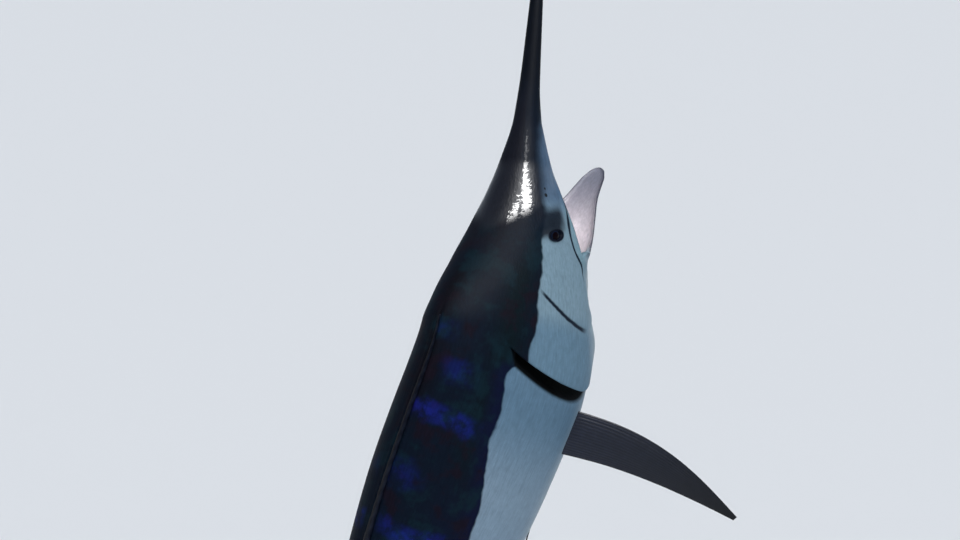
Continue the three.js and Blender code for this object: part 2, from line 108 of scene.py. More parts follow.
# A form given as how far it stands out, its middle and its half width
def swell(x, form):
    out, middle, width = form
    return out * hump(x, middle, width)


# The height of a rounded end at a share of its length, 0 at the very end
def dome(share):
    return np.sqrt(np.clip(1 - (1 - np.clip(share, 0, 1)) ** 2, 0, 1))


def mix(a, b, t):
    return a + (b - a) * t


# A smooth curve through stations that makes no bumps between them
def through(x, y):
    x, y = np.asarray(x, float), np.asarray(y, float)
    step = np.diff(x)
    rise = np.diff(y) / step
    slope = np.zeros(len(x))
    slope[0], slope[-1] = rise[0], rise[-1]
    for i in range(1, len(x) - 1):
        if rise[i - 1] * rise[i] > 0:
            a, b = 2 * step[i] + step[i - 1], step[i] + 2 * step[i - 1]
            slope[i] = (a + b) / (a / rise[i - 1] + b / rise[i])

    def curve(at):
        s = np.clip(at, x[0], x[-1])
        i = np.clip(np.searchsorted(x, s, side="right") - 1, 0, len(x) - 2)
        t = (s - x[i]) / step[i]
        u = 1 - t
        bulge = t * u * (u * slope[i] - t * slope[i + 1]) * step[i]
        return y[i] * u * u * (1 + 2 * t) + y[i + 1] * t * t * (3 - 2 * t) + bulge

    return curve


stationTable = np.array(fish["stations"], float).T
top, bottom, half, level, upper, lower = [through(stationTable[0], column) for column in stationTable[1:]]


# A point of the straight fish, moved outwards by shift
def bodyPoint(at, angle, shift=0.0):
    at, angle = np.broadcast_arrays(np.asarray(at, float), np.asarray(angle, float))
    c, s = np.cos(np.radians(angle)), np.sin(np.radians(angle))
    belly = bottom(np.where(at < 0, np.minimum(at, -0.5), at))  # the jaw's depth starts at the jaw's tip
    reach = np.where(s > 0, top(at) - level(at), level(at) - belly)
    power = 2 / np.where(s > 0, upper(at), lower(at))
    x = half(at) * np.sign(c) * np.abs(c) ** power
    z = reach * np.sign(s) * np.abs(s) ** power
    grow = 1 + shift / np.maximum(np.hypot(x, z), 0.05)
    return np.stack([x * grow, -at, level(at) + z * grow], -1)


def lipLine(at):
    return mouth["lipFront"] + mouth["lipSlope"] * at


# The angle at which the lips' line meets the section, kept on behind the mouth's corner
def lipAngle(at):
    s = np.clip(at, 0, mouth["corner"])
    share = (level(s) - lipLine(s)) / (level(s) - bottom(s))
    return -np.degrees(np.arcsin(share ** (lower(s) / 2)))


# Turns the jaw and the throat down about the hinge; jaw says that the sheet ahead of the corner is the jaw's
def opened(p, jaw):
    at = -p[..., 1]
    corner = mouth["corner"]
    under = lipLine(at) - p[..., 2]
    behind = np.maximum(at - corner, 0)
    share = ease(0, 1.2, under / (1 + 0.25 * behind))
    ahead = (1 - (1 - share) * (1 - ease(0, mouth["cornerReach"], corner - at))) if jaw else 0
    share = np.where(at < corner, ahead, share)
    turn = np.radians(mouth["gape"]) * share * (1 - ease(corner, mouth["throatEnd"], at))
    forward = mouth["hingeAt"] - at
    up = p[..., 2] - mouth["hingeUp"]
    sunk = between(at, mouth["throatFrom"], 14, 15, mouth["throatEnd"] + 3) * ease(0, 3.5, under)
    sunk = sunk * np.where((at < corner) & (not jaw), 0, 1)
    return np.stack([
        p[..., 0] * (1 + mouth["throatFlare"] * sunk),
        forward * np.cos(turn) + up * np.sin(turn) - mouth["hingeAt"],
        mouth["hingeUp"] - forward * np.sin(turn) + up * np.cos(turn) - mouth["throatDrop"] * sunk,
    ], -1)


# The bent spine as a table of frames along it
spineStep, spineStart, spineEnd = 0.25, -24, 118
spineAt = np.arange(spineStart, spineEnd, spineStep)
left = np.radians(sum(b[2] * ease(b[0] - b[1], b[0] + b[1], spineAt) for b in fish["bends"]))
back = np.radians(sum(b[3] * ease(b[0] - b[1], b[0] + b[1], spineAt) for b in fish["bends"]))
spineRight = np.stack([np.cos(left), -np.sin(left), 0 * left], -1)
spineForward = np.stack([np.sin(left) * np.cos(back), np.cos(left) * np.cos(back), np.sin(back)], -1)
spineUp = np.cross(spineRight, spineForward)
spineRun = np.vstack([np.zeros(3), np.cumsum(spineForward[:-1] * spineStep, 0)])
spinePoint = np.array([0, -spineStart, 0.0]) - spineRun
attitude = (Matrix.Rotation(math.radians(-fish["heading"]), 3, "Z")
            @ Matrix.Rotation(math.radians(fish["climb"]), 3, "X")
            @ Matrix.Rotation(math.radians(fish["roll"]), 3, "Y"))


def along(table, at):
    return np.stack([np.interp(at, spineAt, table[:, k]) for k in range(3)], -1)


def turned(p):
    at = -p[..., 1]
    spread = along(spineRight, at) * p[..., :1] + along(spineUp, at) * p[..., 2:]
    return (along(spinePoint, at) + spread) * unit @ np.array(attitude).T


def eyeSeat(side):
    share = (eye["up"] - level(eye["at"])) / (top(eye["at"]) - level(eye["at"]))
    angle = math.degrees(math.asin(share ** (upper(eye["at"]) / 2)))
    seat = bodyPoint(eye["at"], angle, -(eye["radius"] - eye["proud"]))
    out = bodyPoint(eye["at"], angle) - seat
    return seat * (side, 1, 1), out * (side, 1, 1) / np.linalg.norm(out)


# The place comes from the frame: the eyes' middle there, less that of the fish drawn at the origin
eyeMiddle = sum((sum(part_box(name), Vector()) for name in ("eye_right", "eye_left")), Vector()) / 4
place = np.array(eyeMiddle) - sum(turned(eyeSeat(side)[0]) for side in (1, -1)) / 2


def posed(p):
    return turned(p) + place


def linear(hexColour):
    parts = [int(hexColour[i:i + 2], 16) / 255 for i in (1, 3, 5)]
    return np.array([c / 12.92 if c <= 0.04045 else ((c + 0.055) / 1.055) ** 2.4 for c in parts] + [1.0])


def addObject(name, data):
    item = bpy.data.objects.new(name, data)
    scene.collection.objects.link(item)
    return item


# Turns a shape into a mesh and gives the places of its vertices
def meshFrom(name, shape):
    mesh = bpy.data.meshes.new(name)
    shape.to_mesh(mesh)
    shape.free()
    places = np.empty(len(mesh.vertices) * 3)
    mesh.vertices.foreach_get("co", places)
    return mesh, places.reshape(-1, 3)


# A grid made by the operator, with the row and the column of each of its vertices
def gridMesh(name, rows, columns):
    shape = bmesh.new()
    bmesh.ops.create_grid(shape, x_segments=len(columns) - 1, y_segments=len(rows) - 1, size=1)
    mesh, places = meshFrom(name, shape)
    share = (places + 1) / 2
    row = np.rint(share[:, 1] * (len(rows) - 1)).astype(int)
    column = np.rint(share[:, 0] * (len(columns) - 1)).astype(int)
    return mesh, row, column


def setPlaces(mesh, points):
    mesh.vertices.foreach_set("co", np.ascontiguousarray(points, np.float32).ravel())
    mesh.update()


# Numbers, vectors or colours, one for each vertex
def setAttribute(mesh, name, values):
    values = np.asarray(values, np.float32)
    kind, field = {1: ("FLOAT", "value"), 3: ("FLOAT_VECTOR", "vector"), 4: ("FLOAT_COLOR", "color")}[
        values.size // len(values)]
    layer = mesh.attributes.new(name, kind, "POINT")
    layer.data.foreach_set(field, np.ascontiguousarray(values).ravel())


# Joins sheets into one object, merges their borders and turns all faces outwards
def joined(name, meshes, merge=2e-5):
    objects = [addObject(name, mesh) for mesh in meshes]
    piece = objects[0]
    if len(objects) > 1:
        with bpy.context.temp_override(active_object=piece, selected_editable_objects=objects):
            bpy.ops.object.join()
    shape = bmesh.new()
    shape.from_mesh(piece.data)
    bmesh.ops.remove_doubles(shape, verts=shape.verts, dist=merge)
    flat = {edge for face in shape.faces if face.calc_area() < 1e-12 for edge in face.edges}
    flatEdges = [edge for edge in shape.edges if edge in flat]
    bmesh.ops.dissolve_degenerate(shape, edges=flatEdges, dist=1e-7)
    bmesh.ops.recalc_face_normals(shape, faces=shape.faces)
    for face in shape.faces:
        face.smooth = True
    shape.to_mesh(piece.data)
    openEdges = sum(1 for edge in shape.edges if len(edge.link_faces) != 2)
    shape.free()
    piece.name = name
    print(name, len(piece.data.polygons), "faces,", openEdges, "open edges")
    return piece


# Adds a node: inputs are values to set, sockets to link, or nodes whose first output in use is linked;
# settings are the node's own properties
def addNode(tree, kind, inputs=None, **settings):
    node = tree.nodes.new("ShaderNode" + kind)
    for name, value in settings.items():
        setattr(node, name, value)
    for socket, value in (inputs or {}).items():
        if isinstance(value, bpy.types.Node):
            value = next(out for out in value.outputs if out.enabled)
        if isinstance(value, bpy.types.NodeSocket):
            tree.links.new(value, node.inputs[socket])
        else:
            node.inputs[socket].default_value = value
    return node


# Settings that many nodes share
smooth = {"interpolation_type": "SMOOTHSTEP"}
colourMix = {"data_type": "RGBA"}
times = {"operation": "MULTIPLY"}
timesPlus = {"operation": "MULTIPLY_ADD"}


# A new material or world, empty, and the function that adds nodes to it
def emptied(owner):
    owner.use_nodes = True
    owner.node_tree.nodes.clear()
    return owner, partial(addNode, owner.node_tree)


def finishPiece(piece, material, nodes):
    piece.data.materials.clear()
    piece.data.materials.append(material)
    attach(piece, "root")
    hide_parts(*nodes)


# Rows of the skin along the fish, closer together where it has more form
skinRows = {
    "billTip": (0, 0.01, 0.05, 0.12),  # the first rows, from the bill's tip
    # where each stretch ends and its rows, in parts that the jaw tip's and the gill slit's rows follow
    "along": [
        [(-21.9, 1), (-0.6, 34), (0, 4)], [(9.7, 34), (12.3, 28), (mouth["corner"], 4), (22, 42)],
        [(40, 56), (88, 84), (96.5, 22), (98.6, 6)],
    ],
    "jawTip": [0.04, 0.12, 0.25, 0.42, 0.6],
    "top": 168, "belly": 84, "palate": 56, "floor": 46,  # columns
    # how much closer columns are at the level of the eyes, where that is, and its reach
    "closer": 1.3, "closerAt": 0.16, "closerReach": 0.11,
}
slitRow = 22  # the row that is drawn out to the gill cover's edge
slitStep = 0.02  # between the rows that fold into the slit behind it
slitRows = 11
# Behind the edge: how far each row goes back, how much of the cover's flare it keeps, how far it sinks
slitBack = np.array([0, 0.10, 0.08, -0.10, -0.6, -1.3, -1.2, -0.5, 0.15, 0.5, 0.8, 1.05])
slitFlare = np.array([1, 1, 1, 1, 0.5, 0.2, 0, 0, 0, 0, 0, 0])
slitSink = np.array([0, -0.06, -0.18, -0.26, -0.9, -1.2, -1.7, -1.9, -1.6, -0.95, -0.3, -0.02])
slitShadeRows = ([1, 4, 10, 11], [0, 1, 1, 0])  # the rows over which the slit's painted shade lies


def rowList():
    rows = [fish["billTip"] + step for step in skinRows["billTip"]]
    recessShade = [slitRow + slitStep * (k + 1) for k in range(slitRows)]
    for stretches, closeRows in zip(skinRows["along"], (skinRows["jawTip"], recessShade, [])):
        for end, count in stretches:
            rows += list(np.linspace(rows[-1], end, count + 1)[1:])
        rows += closeRows
    return np.array(rows)


def gillEdge(side):
    a = np.clip(side, gill["bottom"], gill["top"])
    above = a > gill["rearmost"]
    away = (a - gill["rearmost"]) / (np.where(above, gill["top"], gill["bottom"]) - gill["rearmost"])
    return gill["reach"] - np.where(above, gill["lessAtTop"], gill["lessAtBottom"]) * away ** 2


# Where a row of the outer skin lies once it is drawn to the gill cover's edge and folded behind it, and how
# strongly the slit's painted shade lies on it
def folded(row, side):
    start, end = gill["drawnFrom"], gill["drawnTo"]
    apart = between(side, gill["bottom"], gill["openBottom"], gill["openTop"], gill["top"])
    k = np.clip(np.rint((row - slitRow) / slitStep), 0, slitRows).astype(int)
    behind = row > slitRow + slitStep * slitRows
    fade = np.where(behind, 1 - ease(slitRow, end, row), 1)
    at = row + (gillEdge(side) - slitRow) * between(row, start, slitRow, slitRow, end)
    at = at + apart * slitBack[k] * fade
    u = (row - gill["head"]) / (slitRow - gill["head"])
    v = (side - gill["bottom"]) / (gill["top"] - gill["bottom"])
    flare = gill["flare"] * ease(0, 1, u) * ease(0, 0.55, v) * ease(0, 0.45, 1 - v)
    shift = np.where(behind, 0, flare * slitFlare[k] + apart * slitSink[k])
    fold = np.where(behind, slitRows, (row - slitRow) / slitStep)
    return at, shift, apart * np.interp(fold, *slitShadeRows)


# How far a point of the head is from the middle of an oval round the eye: 1 on the oval itself
def fromEye(oval, at, side, z):
    back, rise = at - oval[0], z - oval[1]
    skew = eye["skew"]
    away = np.hypot((back - skew[0] * rise) / oval[2], (rise - skew[1] * back) / oval[3])
    return np.where(np.abs(side) < 60, away, 9.0)


# The groove at the rear of the cheek: its station at an angle. Above and below the angle where it lies
# rearmost it runs forward: by how much, over how many degrees, with what power
crease = {"rearmost": 19.62, "angle": -20, "above": (2.6, 43, 1.9), "below": (3.5, 40, 2)}


def cheekGroove(side):
    away = np.clip(np.abs(side - crease["angle"]), 0, 60)
    above, below = [most * (away / reach) ** power
                    for most, reach, power in (crease["above"], crease["below"])]
    return crease["rearmost"] - np.where(side > crease["angle"], above, below)


# The groove over the upper jaw's bone: how far it runs above the lips' line
def lipGroove(at):
    return 0.1 + 0.95 * ease(7.2, 11.5, at) - 0.7 * ease(11.8, 14.2, at)


# Forms of the skin on the plain body; three numbers are how far one stands out, its middle and its half width
forms = {
    "lidDepth": 1.1, "lidFold": (0.15, 1.2, 0.3), "socket": (-0.06, 2.1, 0.5), "brow": (0.12, 9.4, 1.0),
    "cheekGroove": (-0.11, 0.05, 0.16), "cheekSwell": (0.1, -0.9, 0.8),
    "lip": 0.3, "lipGroove": (-0.1, 0.05, 0.16), "throatRay": 0.07, "throatRays": 42,
    "finGroove": 0.3, "finGrooveEdge": (0.1, 86, 2.5),
}
keel = {"from": 91, "to": 96.2, "up": 0.75, "out": 1.1, "width": 0.16}


# How far the skin stands out from the plain body
def relief(at, side, z):
    away = fromEye(eye["lid"], at, side, z)
    bump = swell(away, forms["lidFold"]) + swell(away, forms["socket"])
    bump -= forms["lidDepth"] * (1 - ease(0.62, 1.0, away))
    bump += swell(at, forms["brow"]) * between(side, -16, -2, 20, 34)
    groove = at - cheekGroove(side)
    cheek = swell(groove, forms["cheekGroove"]) + swell(groove, forms["cheekSwell"])
    bump += cheek * between(side, -66, -50, 20, 27)
    overLip = z - lipLine(at)
    lip = forms["lip"] * between(overLip, -1.2, 0, 0.3, 0.95)
    lip += swell(overLip - lipGroove(at), forms["lipGroove"])
    bump += lip * between(at, 4, 8, 13, 14.6)
    # the bones under the throat
    rays = forms["throatRay"] * np.sin(np.radians(side) * forms["throatRays"])
    bump += rays * ease(-48, -56, side) * between(at, 8, 12, 18.5, 21)
    # the groove that the folded fin lies in
    slot = swell(side, forms["finGrooveEdge"]) - forms["finGroove"] * ease(87.5, 90, side)
    bump += slot * between(at, 18, 23, 73, 77)
    u = np.clip((at - keel["from"]) / (keel["to"] - keel["from"]), 0, 1)
    height = keel["out"] * np.abs(np.sin(np.pi * u * 0.85)) ** 1.5 * (u < 1) * (np.abs(side) < 60)
    bump += height * hump(np.abs(z), keel["up"] - 0.25 * u, keel["width"])
    return bump


# A point of the skin with its forms
def skinPoint(at, angle, side, shift=0):
    plain = bodyPoint(at, angle)
    return bodyPoint(at, angle, shift + relief(at, side, plain[..., 2]))


rimShare = 0.12  # of a lining's width, taken by the rim of each lip


# The two linings share their borders with the lips: c runs from the right lip to the left one
def liningPoint(at, c, lip, depth, width):
    q = 1 - 2 * c
    isRim = np.abs(q) > 1 - rimShare
    rim = np.minimum(width, 0.25 * lip[..., 0])
    onRim = np.clip((1 - np.abs(q)) / rimShare, 0, 1)
    turn = np.arccos(np.clip(q / (1 - rimShare), -1, 1))
    wall = lip[..., 0] - rim
    x = np.where(isRim, np.sign(q) * (lip[..., 0] - rim * onRim), wall * np.cos(turn))
    fall = np.where(isRim, 0, np.sin(turn) ** 0.75)
    round = 0.25 * rim * np.sin(np.pi * onRim) * np.sign(depth)
    return np.stack([x, -at, lip[..., 2] + depth * fall - round], -1)


rows = rowList()
corner = mouth["corner"]


# Thins the jaw to a rounded tip
def jawTip(p):
    at = -p[..., 1]
    narrow = mouth["tipNarrow"]
    wide = narrow + (1 - narrow) * np.sqrt(np.clip(at / mouth["jawTip"], 0, 1))
    round = dome(at / skinRows["jawTip"][-1])
    lip = lipLine(at)
    return np.stack([p[..., 0] * wide * round, p[..., 1], lip + (p[..., 2] - lip) * round], -1)


# Ahead of the jaw's tip the head's section goes over into the bill's, which ends in a rounded point
def beak(p, atTip, at):
    share = ease(-3.5, 0, at)[..., None]
    scale = (half(at) / half(0))[..., None]
    blended = mix(p, atTip * scale, share)
    blended[..., 1] = -at
    round = dome((at - fish["billTip"]) / fish["tipLength"])[..., None]
    return np.where((at < 0)[..., None], blended * np.where([True, False, True], round, 1), p)


# Behind the last station the skin closes to an edge between the tail's lobes
def tailEnd(p, row):
    start, end = [stretch[0] for stretch in skinRows["along"][-1][-2:]]
    close = np.sqrt(np.clip(1 - np.clip((row - start) / (end - start), 0, 1) ** 2, 0, 1))
    past = np.maximum(row - start, 0)
    q = p.copy()
    q[..., 0] *= close
    q[..., 1] -= past
    return q


def sideAngle(angle):
    wrapped = (angle + 180) % 360 - 180
    return np.where(np.abs(wrapped) > 90, np.sign(wrapped) * 180 - wrapped, wrapped)


def outerSheet(name, sheetRows, columns, lowerHalf):
    mesh, i, j = gridMesh(name, sheetRows, columns)
    row, c = sheetRows[i], columns[j]
    start = lipAngle(row)
    angle = mix(start, (-180 - start) if lowerHalf else (180 - start), c)
    side = sideAngle(angle)
    at, shift, inside = folded(row, side)
    p = beak(skinPoint(at, angle, side, shift), bodyPoint(0 * at, angle), at)
    if lowerHalf:
        p = np.where((at < corner)[..., None], jawTip(p), p)
    p = tailEnd(p, row)
    setPlaces(mesh, posed(opened(p, lowerHalf)))
    return mesh, {"at": at, "side": side, "row": row, "straight": p, "inside": inside,
                  "isLining": np.zeros(len(at), bool)}


# Palate and jaw floor, which draw together into the gullet behind the mouth's corner
def innerSheet(name, sheetRows, columns, floor):
    mesh, i, j = gridMesh(name, sheetRows, columns)
    at, c = sheetRows[i], columns[j]
    start = lipAngle(at)
    angle = mix(start, -180 - start, c)
    clipped = np.maximum(at, 0)
    lip = skinPoint(clipped, lipAngle(clipped), lipAngle(clipped))
    tube = 1 - ease(corner, mouth["gullet"], at) ** 0.8
    if floor:
        depth = -(0.18 + 0.62 * (lipLine(clipped) - bottom(clipped) - 0.3) * ease(0.5, 8, clipped))
        tongue = 0.28 * depth * hump(c, 0.5, 0.1) * between(at, 5, 7.5, 12, 14)
    else:
        depth = 0.15 + 1.15 * ease(0.5, 10, clipped)
        tongue = 0.12 * depth * hump(c, 0.5, 0.04) * ease(3, 6, at)  # the palate's middle ridge
    # a thicker rim near the corner keeps the floor inside the jaw's wall
    width = mouth["lipWidth"] + (mouth["lipThicker"] * ease(9.5, 12.5, clipped) if floor else 0)
    p = liningPoint(clipped, c, lip, depth * tube, width)
    p[..., 2] -= tongue * tube
    p[..., 0] *= tube
    p[..., 2] = np.where(at > corner, mix(lipLine(at), p[..., 2], tube), p[..., 2])
    if floor:
        p = np.where((at < corner)[..., None], jawTip(p), p)
    else:
        tip = liningPoint(0 * at, c, bodyPoint(0 * at, lipAngle(0 * at)), 0.15 + 0 * at, mouth["lipWidth"])
        p = np.where((at < 0)[..., None], beak(bodyPoint(at, angle), tip, at), p)
    setPlaces(mesh, posed(opened(p, floor)))
    return mesh, {"at": at, "side": np.full_like(at, -60.0), "row": at, "straight": p, "inside": 0 * at,
                  "isLining": at >= 0, "floor": float(floor), "edge": np.minimum(c, 1 - c)}


# Markings: stations, and the angle at which the dark back ends there
backEdge = through(*zip(
    (-22, -130), (-4, -120), (-1.5, -70), (1, -12), (3, 5), (6, 13), (8, 18), (9.5, 22), (10.3, 24),
    (11.2, 27), (12, 27), (14, 25), (17, 24.5), (20, 23.5), (22.2, 24), (22.9, 25), (23.7, 32), (24.6, 34.5),
    (26.5, 32), (28, 30.5), (30, 29.5), (36, 20), (46, 13), (60, 8), (74, 3), (84, -20), (91, -95),
    (98.6, -130)))
slitStations = (22.2, 22.9)  # the back's edge stays as it is there up to the slit's two sides
# Bars: where the middle of each lies; they go on at an even step behind the fourth
barStep, barsBehind = 5.3, 10
barMiddles = [21.8, 25.2, 29.9, 36.4] + [36.4 + barStep * k for k in range(1, barsBehind + 1)]
barNumber = through([16] + barMiddles + [96], [-1.5] + list(range(len(barMiddles))) + [len(barMiddles) + 0.4])
# Each bar's strength, half width as a share of the step, and the angles between which it lies: a faint and a
# clearer blotch behind the nape, a vivid bar, then duller ones
barLook = [(0.1, 0.45, 76, 96), (0.14, 0.4, 56, 72), (0.3, 0.25, 42, 96), (0.12, 0.3, 64, 96)]
barLook += [(0.3 - 0.01 * k, 0.26, 30, 80) for k in range(barsBehind)]
# the forehead colour is a painted reflection of the sky; the brow, crease, recess and eye ring colours are
# painted shade
skinColours = {
    "back": "#0a1320", "nape": "#0d0e15", "forehead": "#14161f", "teal": "#09151b", "navy": "#0a1029",
    "tealCloud": "#0c2029", "plumCloud": "#150f19", "bill": "#080d16", "snout": "#4b6179", "cheek": "#708896",
    "cover": "#5b7689", "shoulder": "#567186", "flank": "#74899a", "belly": "#a9b4ba", "jawRim": "#2c3040",
    "brow": "#070b19", "roof": "#a3979d", "floor": "#b4aeb8", "floorDeep": "#efe5eb", "floorTip": "#6b707f",
    "bar": "#1d2796", "crease": "#141c28", "recessShade": "#0d0f11", "eyeRingShade": "#080d1a", "strip": "#6b8894",
}
# Noise in the skin: features to a metre, detail and roughness
skinNoise = {
    "waves": (20, 2, 0.45),  # in the edges of the back and of the bars
    "blotches": (60, 4, 0.65),
    "spots": (26, 4, 0.6),  # the bars are rows of spots about 40 mm apart
    "clouds": (11, 4, 0.6),  # dark teal and plum on the black, about 100 mm across
    "dimples": (75, 2, 0.5),  # the film of water lies unevenly, in dimples 10 to 20 mm wide
}
# Scales: long narrow splints, about 5 mm by 45 mm, drawn a little coarser than real ones so that they show
splint = {"number": 200, "fine": 420, "lengthwise": 0.11}
nostrils = [(6.65, 0.10), (7.3, 0.15)]  # station and half width of the two pits on each side


def tinted(base, layers):
    colour = np.tile(linear(skinColours[base]), (len(layers[0][1]), 1))
    for name, share in layers:
        colour = mix(colour, linear(skinColours[name]), np.clip(share, 0, 1)[:, None])
    return colour


def markSheet(mesh, data):
    at, side, row, straight, isLining = [data[key] for key in ("at", "side", "row", "straight", "isLining")]
    z = straight[:, 2]
    overLip = z - lipLine(at)
    outer = ~isLining
    behindSlit = row > slitRow + slitStep * slitRows / 2
    edgeAt = np.where(behindSlit & (at < 40), np.maximum(at, slitStations[1]), at)
    edgeAt = np.where(~behindSlit & (row > 20), np.minimum(at, slitStations[0]), edgeAt)
    girth = 0.5 * (half(at) + 0.5 * (top(at) - bottom(at)))
    backness = (side - backEdge(edgeAt)) * girth * math.pi / 180
    jaw = (at > 0) & (at < corner) & (overLip < 0.02)
    backness = np.where(jaw | isLining, -4.0, backness)
    # a dark ring painted round the eye: the socket's shade
    eyeRingShade = 1 - ease(0.95, 1.15, fromEye(eye["eyeRingShade"], at, side, z))
    # a dark patch just ahead of the eye: painted shade of the orbit's front
    brow = ease(7.9, 9.0, at - 0.02 * side) * (1 - ease(10.9, 11.7, at - 0.035 * (side - 14)))
    brow = brow * ease(-13, 1, side - 3 * (at - 9.5)) * (side < 60)
    dark = tinted("back", [
        ("bill", 1 - ease(-6, 0, at)), ("nape", ease(70, 90, side) * between(at, 13, 16, 26, 34)),
        # the top of the head is greyer: a painted reflection of the sky
        ("forehead", ease(52, 72, side) * between(at, -5, 0, 11.5, 15)),
        ("teal", hump(side, 38, 10) * between(at, 12, 16, 30, 36)),
        ("navy", (1 - ease(0.2, 2.2, backness)) * ease(22.5, 24, at)),
        ("navy", 0.6 * ease(34, 44, at) * (1 - ease(2, 6, backness))),
        ("eyeRingShade", eyeRingShade),
    ])
    pale = tinted("cheek", [
        ("snout", 1 - ease(6.5, 10.5, at)), ("cover", ease(18.4, 20.5, at)), ("shoulder", behindSlit),
        ("flank", ease(26, 36, at)), ("belly", ease(-22, -60, side) * ease(5, 12, at)),
        ("belly", jaw * ease(-30, -60, side)),
        ("strip", between(at, 7.5, 9, 12.6, 14.6) * hump(overLip, 0, 0.8) * (~jaw)),
        ("brow", 0.94 * brow), ("eyeRingShade", eyeRingShade),
        ("jawRim", jaw * (1 - ease(0.25, 0.7, -overLip)) * (1 - ease(11.4, 12.8, at))),
        ("jawRim", jaw * (1 - ease(0.6, 2.4, at))),
    ])
    if "floor" in data:
        floor, edge = data["floor"], data["edge"]
        rim = 1 - ease(0.01, 0.05, edge)
        inner = tinted("floor" if floor else "roof", [
            ("floorDeep", ease(3.5, 9, at) * floor), ("floorTip", (1 - ease(1, 6.5, at)) * 0.8),
            ("jawRim", rim * floor * (1 - ease(11, 12.4, at))), ("strip", rim * (1 - floor)),
            ("strip", (1 - ease(0.05, 0.16, edge)) * ease(10.8, 12.2, at)),
            # deep in the mouth, towards the gullet, the colour darkens: painted shade
            ("roof", ease(11.5, 13, at) * (edge > 0.1)), ("recessShade", ease(13.2, 16, at) * 0.8),
        ])
        pale = np.where((at < 0)[:, None], pale, inner)
    # on the left side the bars are left out ahead of station 30 to 45 and near the back's ridge, as painted
    # shade of that side; behind the third bar they fade towards the back's edge
    number = np.clip(np.rint(barNumber(at)), 0, len(barLook) - 1).astype(int)
    share, width, low, high = np.array(barLook)[number].T
    leftSideShade = np.where(straight[:, 0] < 0, ease(80, 76, side) * ease(30, 45, at), 1.0)
    strength = share * between(side, low - 10, low + 8, high - 8, high + 10) * leftSideShade
    strength = np.where(at > 32, strength * ease(0, 3, backness), strength)
    # the forehead is wettest, the back behind it dull
    wettest = ease(3.6, 5.2, at) * (1 - ease(7.9, 9.7, at - 0.045 * (side - 42)))
    for name, values in (
            # distances from the two grooves, negative on one side of them, and how strongly each shows
            ("cheekLine", at - cheekGroove(side)),
            ("cheekShare", ease(-26, -14, side) * ease(25, 19, side) * (row < slitRow) * outer),
            ("lipSeam", overLip - lipGroove(at)),
            ("lipShare", between(at, 6.5, 8.2, 14, 15.5) * (~jaw) * outer),
            # a soft edge on the snout, a clear one from the eye back
            ("edgeWidth", mix(1.0, 0.14, ease(5, 10.5, at)) + 0.9 * ease(38, 60, at)),
            ("backness", backness), ("barNumber", barNumber(at)),
            ("barShare", strength * ease(20, 21, at) * outer), ("barWidth", width),
            ("inside", data["inside"]), ("shine", np.maximum(wettest, 0.12 * (1 - ease(-1, 11, at)))),
            ("cloudy", ease(9, 14, at)), ("darkTint", dark), ("paleTint", pale),
            ("flesh", np.stack([straight[:, 0], at, z], -1) * unit)):
        setAttribute(mesh, name, values)


